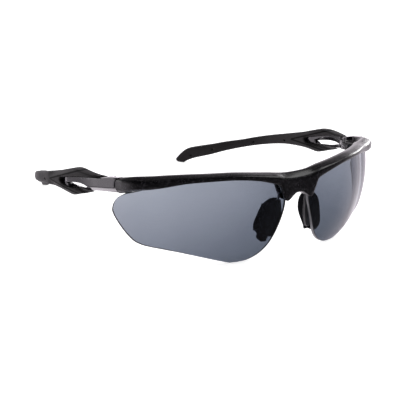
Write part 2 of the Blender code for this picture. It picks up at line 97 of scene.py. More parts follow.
# Front frame: sections as (front x, front y, rear x, rear y, bottom z, front ridge z, crest z).
SEAM_Y = 25.5
SEAM_BOW, SEAM_BOW_REACH = 1.5, 6.0
SEAM_BEVEL, SEAM_SETBACK = 0.25, 0.2
BROW = [
    (0.0, -8.3, 0.0, -1.9, 28.1, 33.0, 36.2),
    (6.0, -8.3, 6.0, -1.8, 28.1, 33.6, 36.4),
    (12.0, -8.2, 11.6, -1.7, 33.0, 35.9, 37.2),
    (20.8, -7.3, 20.2, -1.2, 35.4, 37.4, 38.2),
    (30.0, -4.8, 28.9, 0.9, 36.5, 38.1, 38.9),
    (39.4, -0.6, 37.5, 5.0, 36.2, 37.9, 38.7),
    (47.5, 4.6, 44.9, 9.8, 35.2, 37.2, 38.3),
    (54.0, 8.9, 50.6, 14.6, 33.7, 36.2, 37.7),
    (60.0, 12.6, 54.8, 17.0, 32.5, 35.6, 37.4),
    (64.8, 16.6, 59.2, 19.4, 31.7, 35.3, 37.2),
    (66.9, 21.0, 62.0, 22.0, 30.5, 34.9, 36.7),
    (67.5, SEAM_Y, 63.4, SEAM_Y, 29.5, 34.8, 36.0),
]
BRIDGE_EDGE = [(0.0, 28.1), (1.8, 27.8), (3.5, 26.8), (5.4, 25.4), (6.7, 25.3), (7.6, 26.6),
               (8.7, 28.9), (9.8, 31.4), (10.8, 32.5), (12.0, 33.0)]
BRIDGE_END = 12.0
BRIDGE_TILT = 0.09

# Hinges
KNUCKLE_RADIUS = 1.85
KNUCKLES = {"lower": (29.2, 30.2), "middle": (30.4, 32.1), "upper": (32.4, 33.6)}
BORE_RADIUS = 0.75
FRAME_BORE, CORE_BORE = (27.5, 35.5), (28.0, 35.0)

# Temples: the centre line in plan as (y, x), then side outlines as (y, z).
TEMPLE_PLAN = [(24.0, 64.6), (31.0, 65.9), (40.0, 67.4), (55.0, 68.6), (70.0, 68.9), (83.0, 68.1),
               (95.0, 65.6), (110.0, 58.8), (120.0, 52.9), (131.0, 46.1), (141.0, 39.6)]
CORE_FRONT = SEAM_Y + 0.5
CORE_LOWER = [(CORE_FRONT, 29.4), (31.0, 28.3), (38.0, 27.1), (44.5, 25.8), (51.0, 25.4)]
CORE_OUTLINE = [
    CORE_LOWER,
    [(51.0, 25.0), (56.0, 24.4), (61.0, 24.2), (66.0, 23.7), (74.0, 22.4), (85.0, 20.5),
     (100.0, 16.4), (116.0, 11.3), (124.0, 8.7)],
    [(124.5, 10.4), (116.0, 13.2), (100.0, 18.5), (85.0, 22.6), (74.0, 25.0), (66.0, 26.7),
     (61.2, 27.75), (56.2, 29.05), (50.0, 30.55), (43.0, 31.95), (38.0, 32.8), (35.0, 33.15)],
    [(34.4, 33.8), (30.0, 35.0), (CORE_FRONT, 35.9)],
]
# The core's window, closed below by a thin arm along the lower prong.
WINDOW_OUTLINE = [
    [(43.4, 27.7), (46.0, 28.1), (50.0, 27.9), (54.0, 27.2), (57.0, 26.5), (59.5, 25.7)],
    [(59.5, 25.7), (57.5, 25.3), (55.0, 25.4), (51.0, 25.8), (47.0, 26.5), (43.4, 27.7)],
]
# The line between the window's upper and lower rims, then how far the upper rim rises and both
# reach forward on the inner face, all by y.
WINDOW_MIDDLE = [(40.0, 28.4), (43.4, 27.7), (50.0, 26.9), (55.0, 26.3), (59.5, 25.7)]
WINDOW_LIFT = [(36.0, 0.0), (42.0, 2.4), (46.0, 2.6), (52.0, 1.9), (58.0, 0.9), (62.0, 0.0)]
WINDOW_REACH = [(33.0, 0.0), (42.0, 3.6), (46.0, 3.2), (53.0, 0.0)]
# The hollow chamfer under the outer face, and how far each face lies from the centre line.
CHAMFER_HEIGHT = [(CORE_FRONT, 1.7), (35.0, 1.7), (46.0, 1.3), (54.0, 0.5), (58.0, 0.0)]
CORE_OUTER = [(CORE_FRONT, 2.6), (36.0, 2.6), (50.0, 2.5), (60.0, 2.2), (66.0, 0.7), (125.0, 0.6)]
CORE_INNER = [(CORE_FRONT, -0.6), (30.3, -0.6), (31.2, -2.6), (35.5, -2.6), (40.0, -0.2),
              (57.0, 0.0), (65.0, -0.7), (125.0, -0.6)]
SLEEVE_TOP = [(34.4, 34.0), (36.6, 33.75), (41.0, 33.4), (47.0, 33.4), (51.0, 33.45), (55.0, 33.0),
              (58.5, 31.9), (62.5, 30.6), (68.0, 28.75), (80.0, 25.3), (91.0, 22.3), (100.0, 19.6),
              (108.0, 16.9), (116.0, 14.5), (123.0, 12.1), (131.0, 9.6), (135.3, 7.8), (138.0, 5.1),
              (140.2, 2.0)]
SLEEVE_BOTTOM = [(136.4, 0.0), (134.5, 1.5), (131.0, 3.4), (123.0, 6.5), (115.5, 9.8),
                 (108.0, 12.6), (100.0, 15.2), (90.0, 17.8), (80.0, 19.8), (67.0, 21.2),
                 (60.0, 21.4), (56.0, 21.3), (53.6, 21.7)]
FORK_LOWER = [(44.2, 25.1), (51.0, 24.85), (56.0, 24.35), (61.0, 24.15), (63.5, 24.4)]
FORK_UPPER = [(64.5, 26.9), (61.2, 27.8), (56.2, 29.1), (50.0, 30.6), (43.0, 32.0), (38.0, 32.85),
              (34.6, 33.4)]
SLEEVE_OUTLINE = [
    SLEEVE_TOP,
    [(140.2, 2.0), (139.9, 0.5), (138.8, 0.0)],
    [(138.8, 0.0), (136.4, 0.0)],
    SLEEVE_BOTTOM,
    [(53.6, 21.7), (51.0, 22.6), (48.0, 23.7), (44.2, 24.9)],
    FORK_LOWER,
    [(63.5, 24.4), (65.2, 25.6), (64.5, 26.9)],
    FORK_UPPER,
]
SLEEVE_OUTER = [(34.4, -0.2), (37.0, 1.0), (41.0, 2.3), (46.0, 3.0), (58.0, 3.0), (72.0, 2.5),
                (85.0, 2.2), (105.0, 2.1), (130.0, 2.3), (141.0, 2.1)]
SLEEVE_INNER = [(34.4, 2.3), (40.0, 2.6), (45.0, 2.6), (58.0, 3.0), (72.0, 2.5), (85.0, 2.2),
                (105.0, 2.1), (130.0, 2.3), (141.0, 2.1)]
# The space for the core's tang.
CHANNEL_OUTLINE = [
    [(62.0, 25.6), (66.0, 24.5), (74.0, 22.5), (85.0, 20.1), (100.0, 16.0), (116.0, 10.9),
     (124.4, 8.2)],
    [(125.0, 10.6), (116.0, 13.6), (100.0, 18.9), (85.0, 23.0), (74.0, 25.4), (66.0, 26.7),
     (62.0, 27.6)],
]
# The crease on the outer face opens from a point into two lines along the prongs.
CREASE_POINT = (75.0, 23.6)
CREASE_UPPER = [(48.5, 33.6), CREASE_POINT]
CREASE_LOWER = [(49.0, 23.6), (60.0, 23.3), CREASE_POINT]
CREASE_SLOPE = 0.5
# Its painted shade, a dark line in colour and gloss, fades over the first number, from a dark middle
# of the second number times that to each side.
CREASE_SHADE_WIDTH, CREASE_SHADE_CORE = 0.3, 0.8
DIMPLES = [(80.0, 21.9), (100.3, 17.2), (121.8, 9.9), (132.4, 5.0)]
DIMPLE_RADIUS, DIMPLE_DEPTH = 0.55, 0.7

# Nose pads: the carrier's path from the top, then the pad's size by height as (z, share).
CARRIER_PATH = [(8.0, -3.3, 25.0), (8.2, -3.5, 23.2), (8.1, -3.5, 20.5), (8.7, -3.0, 15.5),
                (10.8, -1.8, 9.6)]
CARRIER_HALF = (1.25, 1.0)
# The power that squares up the carrier's oval section.
CARRIER_POWER = 0.72
STUB_TOP, STUB_BOTTOM, STUB_RADIUS = 31.4, 23.6, 0.4
PAD_LEVELS = [(25.4, 0.25), (24.2, 0.5), (21.0, 0.85), (16.6, 1.0), (12.4, 0.98), (9.6, 0.8),
              (7.9, 0.45)]
PAD_WING, PAD_FLANGE, PAD_THICKNESS = 8.4, 5.2, 1.9
PAD_FRONT = 0.75
PAD_SPLAY = 18.0
WING_LIFT = 1.7
PAD_GAP = 0.3
# The truss, as the heights of each brace on the wing and on the flange.
BRACES = [(10.5, 13.5), (16.0, 13.5), (16.0, 19.0), (21.5, 19.0)]
BRACE_SHARE, BRACE_RADIUS = 0.9, 0.42

# Camera: degrees, then a target in the design's millimetres, a distance, and lens and sensor.
VIEW_AZIMUTH, VIEW_ELEVATION, VIEW_ROLL = -36.293, 18.230, 1.539
VIEW_TARGET = (-5.365, 47.672, 6.315)
VIEW_DISTANCE = 443.7
VIEW_LENS, VIEW_SENSOR = 84.1, 36.0

# Studio: greys by direction, from 0 (down, ahead of the wearer, their right) to 1 (the opposite).
# The greys across hold a dark flag on the wearer's right.
STUDIO_HEIGHT = [(0.0, 1.0), (0.57, 1.0), (0.66, 0.40), (0.80, 0.12), (1.0, 0.06)]
STUDIO_DEPTH = [(0.0, 0.02), (0.35, 0.10), (0.5, 0.40), (0.78, 0.9), (1.0, 1.0)]
STUDIO_ACROSS = [(0.0, 1.0), (0.16, 1.0), (0.22, 0.30), (0.33, 0.30), (0.40, 1.0)]
STUDIO_STRENGTH = 1.35
STUDIO_TINT = (1.0, 0.93, 1.0)
FLOOR_SIZE, FLOOR_GLOW = 8.0, 0.86
# Lamps as (name, place, size, watts, seen in the gloss), in metres.
LIGHT_TARGET = (0.0, 0.0, 0.02)
LIGHTS = [
    ("key_top", (0.05, 0.10, 0.85), (1.0, 0.8), 3.0, False),
    ("fill_back_left", (-0.55, 0.75, 0.30), (0.6, 0.4), 1.0, True),
    ("bevel_front", (0.50, -0.22, 0.70), (0.45, 0.45), 1.4, True),
    ("rim_right", (1.00, 0.27, 0.33), (0.5, 0.3), 3.0, True),
]


# ---------------------------------------------------------------- curves

def clamp(share):
    """Keep a share between 0 and 1."""
    return min(1.0, max(0.0, share))


def value_at(x, knots):
    """Read a smooth curve through knots (x, value), flat beyond its ends."""
    if x <= knots[0][0]:
        return knots[0][1]
    for i in range(len(knots) - 1):
        (x0, v0), (x1, v1) = knots[i], knots[i + 1]
        if x <= x1:
            before = knots[max(i - 1, 0)]
            after = knots[min(i + 2, len(knots) - 1)]
            slope0 = (v1 - before[1]) / (x1 - before[0])
            slope1 = (after[1] - v0) / (after[0] - x0)
            width = x1 - x0
            t = (x - x0) / width
            rise = v0 * (2 * t ** 3 - 3 * t ** 2 + 1) + v1 * (3 * t ** 2 - 2 * t ** 3)
            return rise + width * (slope0 * (t ** 3 - 2 * t ** 2 + t) + slope1 * (t ** 3 - t ** 2))
    return knots[-1][1]


def line_at(x, knots):
    """Read a straight line through two knots."""
    (x0, v0), (x1, v1) = knots
    return v0 + (v1 - v0) * (x - x0) / (x1 - x0)


def flow(points, step):
    """Points along a smooth curve through the given points, about step apart, ends kept."""
    count = len(points)
    out = [tuple(points[0])]
    for i in range(count - 1):
        p1, p2 = points[i], points[i + 1]
        p0 = points[i - 1] if i else [2 * a - b for a, b in zip(p1, p2)]
        p3 = points[i + 2] if i + 2 < count else [2 * b - a for a, b in zip(p1, p2)]
        length = sqrt(sum((b - a) ** 2 for a, b in zip(p1, p2)))
        pieces = max(1, round(length / step))
        for k in range(1, pieces + 1):
            t = k / pieces
            weights = (
                (-t + 2 * t ** 2 - t ** 3) / 2,
                (2 - 5 * t ** 2 + 3 * t ** 3) / 2,
                (t + 4 * t ** 2 - 3 * t ** 3) / 2,
                (t ** 3 - t ** 2) / 2,
            )
            near = (p0, p1, p2, p3)
            out.append(tuple(sum(w * p[j] for w, p in zip(weights, near)) for j in range(len(p1))))
    return out


def outline(stretches, step):
    """Join smooth stretches into one closed outline with corners where they meet."""
    out = []
    for stretch in stretches:
        for point in flow(stretch, step):
            if not out or hypot(point[0] - out[-1][0], point[1] - out[-1][1]) > 0.05:
                out.append(point)
    if hypot(out[0][0] - out[-1][0], out[0][1] - out[-1][1]) < 0.05:
        out.pop()
    return out


def rounded(points, radius, arc=3):
    """A closed run of 2-D or 3-D points with each corner cut to a small curve."""
    out = []
    count = len(points)
    for i in range(count):
        before, here, after = (np.array(points[(i + k) % count], float) for k in (-1, 0, 1))
        reach = [min(radius, 0.4 * np.linalg.norm(other - here)) for other in (before, after)]
        start = here + (before - here) / np.linalg.norm(before - here) * reach[0]
        end = here + (after - here) / np.linalg.norm(after - here) * reach[1]
        for k in range(arc + 1):
            t = k / arc
            out.append(tuple((1 - t) ** 2 * start + 2 * t * (1 - t) * here + t ** 2 * end))
    return out


def world(x, y, z):
    """A design point in metres in the frame's own coordinates."""
    return Vector((x, y - PLAN_SHIFT, z)) * MM


# ---------------------------------------------------------------- meshes

def new_object(name, verts, faces, material, sharp=38.0):
    """A mesh object with outward faces, smooth except at sharp edges."""
    mesh = bpy.data.meshes.new(name)
    mesh.from_pydata([tuple(v) for v in verts], [], faces)
    bm = bmesh.new()
    bm.from_mesh(mesh)
    bmesh.ops.recalc_face_normals(bm, faces=bm.faces)
    if bm.calc_volume(signed=True) < 0.0:
        bmesh.ops.reverse_faces(bm, faces=bm.faces)
    bm.to_mesh(mesh)
    bm.free()
    for polygon in mesh.polygons:
        polygon.use_smooth = True
    mesh.set_sharp_from_angle(angle=radians(sharp))
    made = bpy.data.objects.new(name, mesh)
    bpy.context.scene.collection.objects.link(made)
    if material:
        mesh.materials.append(material)
    return made


def loft(name, rings, material, sharp=38.0):
    """Join rings of equal length into one closed body, its ends closed by fans."""
    verts = [point for ring in rings for point in ring]
    count = len(rings[0])
    faces = []
    for row in range(len(rings) - 1):
        for k in range(count):
            a, b = row * count + k, row * count + (k + 1) % count
            faces.append((a, b, b + count, a + count))
    for row in (0, len(rings) - 1):
        centre = sum((Vector(p) for p in rings[row]), Vector()) / count
        verts.append(centre)
        hub = len(verts) - 1
        faces += [(row * count + k, row * count + (k + 1) % count, hub) for k in range(count)]
    return new_object(name, verts, faces, material, sharp)


def distance_to(edge, points):
    """Distance of each point to a closed outline."""
    a = np.array(edge, float)
    b = np.roll(a, -1, axis=0)
    run = b - a
    best = np.full(len(points), 1e9)
    for start, along in zip(a, run):
        t = np.clip((points - start) @ along / (along @ along), 0, 1)
        best = np.minimum(best, np.linalg.norm(points - start - t[:, None] * along, axis=1))
    return best


def inside(edge, points):
    """Which points lie within a closed outline."""
    a = np.array(edge, float)
    b = np.roll(a, -1, axis=0)
    hit = np.zeros(len(points), bool)
    for (x0, y0), (x1, y1) in zip(a, b):
        crosses = (y0 > points[:, 1]) != (y1 > points[:, 1])
        with np.errstate(divide="ignore", invalid="ignore"):
            at = (x1 - x0) * (points[:, 1] - y0) / (y1 - y0) + x0
        hit ^= crosses & (points[:, 0] < at)
    return hit


def rim_rows(edge, rims, others):
    """Rows of points inside an outline, or outside it for a negative rim, clear of the others."""
    flat = np.array(edge, float)
    before, after = np.roll(flat, 1, axis=0), np.roll(flat, -1, axis=0)
    tangent = after - before
    tangent /= np.linalg.norm(tangent, axis=1)[:, None]
    area = np.sum(flat[:, 0] * after[:, 1] - after[:, 0] * flat[:, 1])
    normal = np.column_stack((-tangent[:, 1], tangent[:, 0])) * np.sign(area)
    rows = []
    for rim in rims:
        row = flat + normal * rim
        keep = distance_to(edge, row) > 0.93 * abs(rim)
        for other in others:
            keep &= distance_to(other, row) > 1.2 * abs(rim)
        rows.append(row[keep])
    return rows


def plate_points(edge, hole, spacing, rims):
    """The flat points of a plate: its outlines first, then rows along them, then a grid."""
    edges = [edge] + ([hole] if hole else [])
    points = [np.array(each, float) for each in edges]
    low, high = points[0].min(0), points[0].max(0)
    for k, each in enumerate(edges):
        rows = rim_rows(each, [-rim for rim in rims] if k else rims, edges[:k] + edges[k + 1:])
        points += [row[inside(edge, row)] for row in rows]
    grid = np.array([(u, v) for u in np.arange(low[0], high[0], spacing[0])
                     for v in np.arange(low[1] + spacing[1] / 2, high[1], spacing[1])])
    keep = inside(edge, grid)
    for each in edges:
        keep &= distance_to(each, grid) > rims[-1] + 0.45 * min(spacing)
    cloud = np.vstack(points + [grid[keep]])
    if hole:
        on_rims = np.arange(len(cloud)) < len(edge) + len(hole)
        cloud = cloud[on_rims | ~inside(hole, cloud)]
    return cloud


def fill(edge, hole, cloud):
    """Triangles over a cloud of flat points, inside the outline and outside the hole."""
    rings = [(k, (k + 1) % len(edge)) for k in range(len(edge))]
    if hole:
        rings += [(len(edge) + k, len(edge) + (k + 1) % len(hole)) for k in range(len(hole))]
    made, _, tris, _, _, _ = delaunay_2d_cdt([Vector(p) for p in cloud], rings, [], 0, 1e-5)
    at = np.array([tuple(p) for p in made])
    middles = np.array([at[list(t)].mean(0) for t in tris])
    keep = inside(edge, middles)
    if hole:
        keep &= ~inside(hole, middles)
    return at, [list(t) for t, kept in zip(tris, keep) if kept]


def open_edges(tris):
    """The edges that only one triangle uses, in its own direction."""
    uses = {}
    for t in tris:
        for a, b in zip(t, t[1:] + t[:1]):
            uses.setdefault((min(a, b), max(a, b)), []).append((a, b))
    return [pairs[0] for pairs in uses.values() if len(pairs) == 1]


def plate(name, edge, spacing, rims, place, material, sharp=38.0, hole=None):
    """A closed body from a flat outline, meshed with rows along its rim and a grid inside.

    place(u, v, layer, depth) gives a point of the outer (+1) or inner (-1) face, where depth is the
    distance from the rim.
    """
    at, tris = fill(edge, hole, plate_points(edge, hole, spacing, rims))
    edges = [edge, hole] if hole else [edge]
    depth = np.min([distance_to(each, at) for each in edges], axis=0)
    count = len(at)
    verts = [place(u, v, layer, d) for layer in (1.0, -1.0) for (u, v), d in zip(at, depth)]
    faces = [tuple(t) for t in tris] + [tuple(k + count for k in reversed(t)) for t in tris]
    faces += [(b, a, a + count, b + count) for a, b in open_edges(tris)]
    return new_object(name, verts, faces, material, sharp)


def round_off(depth, radius):
    """How far a rounded rim falls below its face at a depth from it, as a share of its radius."""
    return 1.0 - sqrt(max(0.0, 1.0 - (1.0 - clamp(depth / radius)) ** 2))


def circle(x, y, z, radius, sides):
    """Points round a vertical axis."""
    angles = [2 * pi * k / sides for k in range(sides)]
    return [world(x + radius * cos(a), y + radius * sin(a), z) for a in angles]


def cylinder(name, x, y, low, high, radius, material, sides=32, bevel=0.0):
    """A vertical round pin, its ends bevelled."""
    profile = [(radius, low), (radius, high)]
    if bevel:
        ends = radius - bevel
        profile = [(ends, low), (radius, low + bevel), (radius, high - bevel), (ends, high)]
    return loft(name, [circle(x, y, z, r, sides) for r, z in profile], material)


def apply_boolean(target, tools, operation):
    """Cut or join target with each tool and remove the tools."""
    for tool in tools:
        modifier = target.modifiers.new(operation, "BOOLEAN")
        modifier.operation = operation
        modifier.solver = "EXACT"
        modifier.object = tool
    depsgraph = bpy.context.evaluated_depsgraph_get()
    finished = bpy.data.meshes.new_from_object(target.evaluated_get(depsgraph))
    target.modifiers.clear()
    target.data = finished
    for tool in tools:
        bpy.data.objects.remove(tool)


def join(target, others):
    """Put the meshes of other objects into target."""
    bm = bmesh.new()
    bm.from_mesh(target.data)
    for other in others:
        bm.from_mesh(other.data)
        bpy.data.objects.remove(other)
    bm.to_mesh(target.data)
    bm.free()


# ---------------------------------------------------------------- materials

class Nodes:
    """Short names for building a node tree."""

    def __init__(self, tree, coordinates):
        self.tree = tree
        self.place = self.add("ShaderNodeTexCoord").outputs[coordinates]

    def add(self, kind, inputs=None, **settings):
        node = self.tree.nodes.new(kind)
        for key, value in settings.items():
            setattr(node, key, value)
        for key, value in (inputs or {}).items():
            if isinstance(value, bpy.types.NodeSocket):
                self.tree.links.new(value, node.inputs[key])
            else:
                node.inputs[key].default_value = value
        return node

    def ramp(self, source, stops):
        """Shades along a 0..1 value. A stop is (position, grey) or (position, (r, g, b))."""
        node = self.add("ShaderNodeValToRGB", {"Fac": source})
        elements = node.color_ramp.elements
        while len(elements) < len(stops):
            elements.new(0.5)
        for element, (position, shade) in zip(elements, stops):
            element.position = position
            element.color = (*shade, 1.0) if isinstance(shade, tuple) else (shade, shade, shade, 1.0)
        return node.outputs["Color"]

    def mix(self, factor, a, b, blend="MIX"):
        node = self.add("ShaderNodeMix", data_type="RGBA", blend_type=blend)
        for key, value in ((0, factor), (6, a), (7, b)):
            if isinstance(value, bpy.types.NodeSocket):
                self.tree.links.new(value, node.inputs[key])
            else:
                node.inputs[key].default_value = value if key == 0 else (*value, 1.0)
        return node.outputs[2]

    def math(self, operation, *values):
        node = self.add("ShaderNodeMath", dict(enumerate(values)), operation=operation)
        return node.outputs[0]


class Surface(Nodes):
    """A material with a Principled shader. Sockets are named with _ for a space."""

    def __init__(self, name, roughness, metallic=0.0, **sockets):
        self.material = bpy.data.materials.new(name)
        self.material.use_nodes = True
        super().__init__(self.material.node_tree, "Object")
        self.shader = self.tree.nodes["Principled BSDF"]
        self.shader.inputs["Roughness"].default_value = roughness
        self.shader.inputs["Metallic"].default_value = metallic
        for socket, value in sockets.items():
            self.shader.inputs[socket.replace("_", " ")].default_value = value

    def noise(self, scale, detail=3.0):
        inputs = {"Vector": self.place, "Scale": scale, "Detail": detail, "Roughness": 0.55}
        return self.add("ShaderNodeTexNoise", inputs).outputs["Fac"]

    def link(self, source, socket):
        self.tree.links.new(source, self.shader.inputs[socket])

    def bump(self, height, strength, distance):
        inputs = {"Height": height, "Strength": strength, "Distance": distance}
        self.link(self.add("ShaderNodeBump", inputs).outputs["Normal"], "Normal")


def frame_material():
    """Black moulding with a fine metallic fleck under a satin coat."""
    m = Surface("frame_black", 0.3, Coat_Weight=0.3, Coat_Roughness=0.1)
    fleck = m.add("ShaderNodeTexVoronoi", {"Vector": m.place, "Scale": 3200.0, "Randomness": 1.0})
    pick = m.add("ShaderNodeSeparateColor", {"Color": fleck.outputs["Color"]})
    bright = m.ramp(pick.outputs["Red"], [(0.82, 0.0), (1.0, 1.0)])
    body = m.ramp(m.noise(60.0), [(0.35, (0.0025, 0.0024, 0.0030)), (0.7, (0.0050, 0.0046, 0.0060))])
    m.link(m.mix(bright, body, (0.050, 0.046, 0.056)), "Base Color")
    m.link(m.ramp(m.noise(500.0, 2.0), [(0.3, 0.26), (0.75, 0.36)]), "Roughness")
    m.bump(m.noise(3000.0, 2.0), 0.1, 0.00002)
    return m.material


def core_material():
    """Glossy grey-black moulding."""
    m = Surface("core_gloss", 0.2, Coat_Weight=0.9, Coat_Roughness=0.05)
    tones = [(0.3, (0.010, 0.009, 0.0125)), (0.75, (0.017, 0.015, 0.020))]
    m.link(m.ramp(m.noise(70.0), tones), "Base Color")
    m.link(m.ramp(m.noise(500.0, 2.0), [(0.3, 0.14), (0.75, 0.22)]), "Roughness")
    m.bump(m.noise(1800.0, 2.0), 0.08, 0.00002)
    return m.material


def crease_shade_mask(m):
    """Painted shade of the crease: 0 on the two lines of the sleeve's crease, which open forwards,
    and 1 elsewhere.
    """
    (start_y, start_z), (point_y, point_z) = CREASE_UPPER
    slope = (point_z - start_z) / (point_y - start_y)
    point_y, point_z = (point_y - PLAN_SHIFT) * MM, point_z * MM
    parts = m.add("ShaderNodeSeparateXYZ", {"Vector": m.place})
    y, z = parts.outputs["Y"], parts.outputs["Z"]
    climb = m.math("MULTIPLY_ADD", y, -slope, slope * point_y - point_z)
    upper = m.math("ABSOLUTE", m.math("ADD", z, climb))
    lower = m.math("ABSOLUTE", m.math("SUBTRACT", z, point_z - 0.1 * MM))
    behind = m.math("MAXIMUM", m.math("SUBTRACT", y, point_y), 0.0)
    near = m.math("MULTIPLY_ADD", behind, 4.0, m.math("MINIMUM", upper, lower))
    share = m.math("MULTIPLY_ADD", near, 1.0 / (CREASE_SHADE_WIDTH * MM), -CREASE_SHADE_CORE)
    return m.math("MINIMUM", m.math("MAXIMUM", share, 0.0), 1.0)


def sleeve_material():
    """Matte soft-touch rubber, finely grained, rubbed lighter in places, with painted shade along the
    crease in colour and gloss.
    """
    m = Surface("sleeve_rubber", 0.6, Sheen_Weight=0.05, Sheen_Roughness=0.5)
    rubbed = [(0.35, (0.0125, 0.0108, 0.0118)), (0.8, (0.0195, 0.0168, 0.0182))]
    grain = m.ramp(m.noise(4200.0, 2.0), [(0.25, 0.7), (0.8, 1.2)])
    skin = m.mix(1.0, m.ramp(m.noise(45.0, 4.0), rubbed), grain, "MULTIPLY")
    clear = crease_shade_mask(m)
    # Painted shade along the crease: near-black colour here and less specular below.
    m.link(m.mix(clear, (0.002, 0.002, 0.002), skin), "Base Color")
    m.link(m.ramp(m.noise(160.0), [(0.3, 0.5), (0.75, 0.66)]), "Roughness")
    m.link(m.math("MULTIPLY_ADD", clear, 0.22, 0.03), "Specular IOR Level")
    m.bump(m.noise(3600.0), 0.3, 0.00004)
    return m.material


def pad_material():
    """Black silicone with a fine pebbled skin."""
    m = Surface("pad_silicone", 0.6, Specular_IOR_Level=0.0)
    tones = [(0.3, (0.004, 0.004, 0.005)), (0.8, (0.010, 0.010, 0.012))]
    m.link(m.ramp(m.noise(120.0), tones), "Base Color")
    pebble = m.add("ShaderNodeTexVoronoi", {"Vector": m.place, "Scale": 2200.0}, feature="SMOOTH_F1")
    m.link(m.ramp(m.noise(300.0), [(0.3, 0.48), (0.8, 0.65)]), "Roughness")
    m.bump(pebble.outputs["Distance"], 0.3, 0.00008)
    return m.material


def carrier_material():
    """Satin dark grey plastic."""
    m = Surface("carrier_satin", 0.32, Coat_Weight=0.15, Coat_Roughness=0.2)
    tones = [(0.3, (0.014, 0.014, 0.017)), (0.8, (0.024, 0.024, 0.028))]
    m.link(m.ramp(m.noise(150.0), tones), "Base Color")
    m.link(m.ramp(m.noise(900.0), [(0.3, 0.27), (0.8, 0.4)]), "Roughness")
    m.bump(m.noise(2500.0), 0.1, 0.00002)
    return m.material


def steel_material():
    """Plain turned steel."""
    m = Surface("hinge_steel", 0.3, metallic=1.0)
    tones = [(0.3, (0.30, 0.30, 0.31)), (0.8, (0.42, 0.42, 0.43))]
    m.link(m.ramp(m.noise(400.0), tones), "Base Color")
    m.link(m.ramp(m.noise(1500.0), [(0.3, 0.22), (0.8, 0.4)]), "Roughness")
    return m.material


def lens_material():
    """Polished smoke grey polycarbonate, tinted all through; its surface colour is darkest low down
    by the nose and lighter outwards and upwards, a painted reflection over the real tint.
    """
    m = Surface("lens_smoke_and_painted_reflection", 0.0, Transmission_Weight=1.0, IOR=1.5)
    parts = m.add("ShaderNodeSeparateXYZ", {"Vector": m.place})
    across = m.math("MULTIPLY", m.math("ABSOLUTE", parts.outputs["X"]), PAINTED_REFLECTION_ACROSS / MM)
    height = m.math("MULTIPLY", parts.outputs["Z"], PAINTED_REFLECTION_UP / MM)
    # Smoke colour lightened outwards and upwards: a painted reflection over the real tint.
    m.link(m.ramp(m.math("ADD", across, height), SMOKE_WITH_PAINTED_REFLECTION), "Base Color")
    body = m.add("ShaderNodeVolumeAbsorption", {"Color": (*LENS_BODY, 1.0), "Density": LENS_DENSITY})
    m.tree.links.new(body.outputs["Volume"], m.tree.nodes["Material Output"].inputs["Volume"])
    return m.material


def painted_edge_material(name, dark, light):
    """The cut edge of a lens in painted light: a light grey for a painted highlight, a near-black for
    a painted dark outline.
    """
    m = Surface(name, 0.35, Specular_IOR_Level=0.5)
    tones = [(0.3, (dark, dark, 1.1 * dark)), (0.8, (light, light, 1.1 * light))]
    m.link(m.ramp(m.noise(300.0), tones), "Base Color")
    m.link(m.ramp(m.noise(1200.0), [(0.3, 0.3), (0.8, 0.5)]), "Roughness")
    m.bump(m.noise(2500.0), 0.1, 0.00002)
    return m.material


# ---------------------------------------------------------------- pieces

def lens_place(side, outer, inner, bevel):
    """A mapping from (azimuth, height) to a shell between two radii, with a bevelled rim."""
    cx, cy, cz = LENS_CENTRE

    def place(azimuth, height, layer, depth):
        cut = bevel * round_off(depth, bevel) if bevel else 0.0
        radius = (outer - cut if layer > 0 else inner + cut) + value_at(azimuth, LENS_BULGE)
        ring = sqrt(radius ** 2 - (height - cz) ** 2)
        angle = radians(azimuth)
        return world(side * (cx + ring * sin(angle)), cy - ring * cos(angle), height)

    return place


def make_lens(word, side, material, edge_materials):
    """One tinted lens, bevelled all round. Its cut edge carries painted light: a painted highlight by
    the nose and a painted dark outline elsewhere.
    """
    place = lens_place(side, LENS_RADIUS, LENS_RADIUS - LENS_THICKNESS, LENS_BEVEL)
    edge = outline(LENS_OUTLINE, 0.9)
    lens = plate(word + "_lens_shell", edge, (1.5, 1.5), (0.07, 0.16, 0.32), place, material, 60.0)
    for edge_material in edge_materials:
        lens.data.materials.append(edge_material)
    centre = world(side * LENS_CENTRE[0], LENS_CENTRE[1], LENS_CENTRE[2])
    for face in lens.data.polygons:
        ray = face.center - centre
        facing = abs(face.normal.dot(ray.normalized()))
        # Rim faces carry painted light: a painted highlight on the nasal edge wall, a painted dark
        # outline on the rest.
        highlit = atan2(side * ray.x, -ray.y) < radians(PAINTED_HIGHLIGHT_AZIMUTH)
        if facing < 0.85:
            face.material_index = 1 if highlit and facing < 0.3 else 2
    return lens


def lens_groove(word, side):
    """The space that a lens takes in the front frame, with a hair's gap."""
    outer = LENS_RADIUS + GROOVE_GAP
    place = lens_place(side, outer, outer - LENS_THICKNESS - 2 * GROOVE_GAP, 0.0)
    edge = outline(LENS_OUTLINE, 1.2)
    grown = []
    for k, point in enumerate(edge):
        before, after = edge[k - 1], edge[(k + 1) % len(edge)]
        du, dv = after[0] - before[0], after[1] - before[1]
        length = hypot(du, dv)
        grown.append((point[0] + GROOVE_GAP * dv / length, point[1] - GROOVE_GAP * du / length))
    return plate(word + "_groove", grown, (3.0, 3.0), (0.8,), place, None)


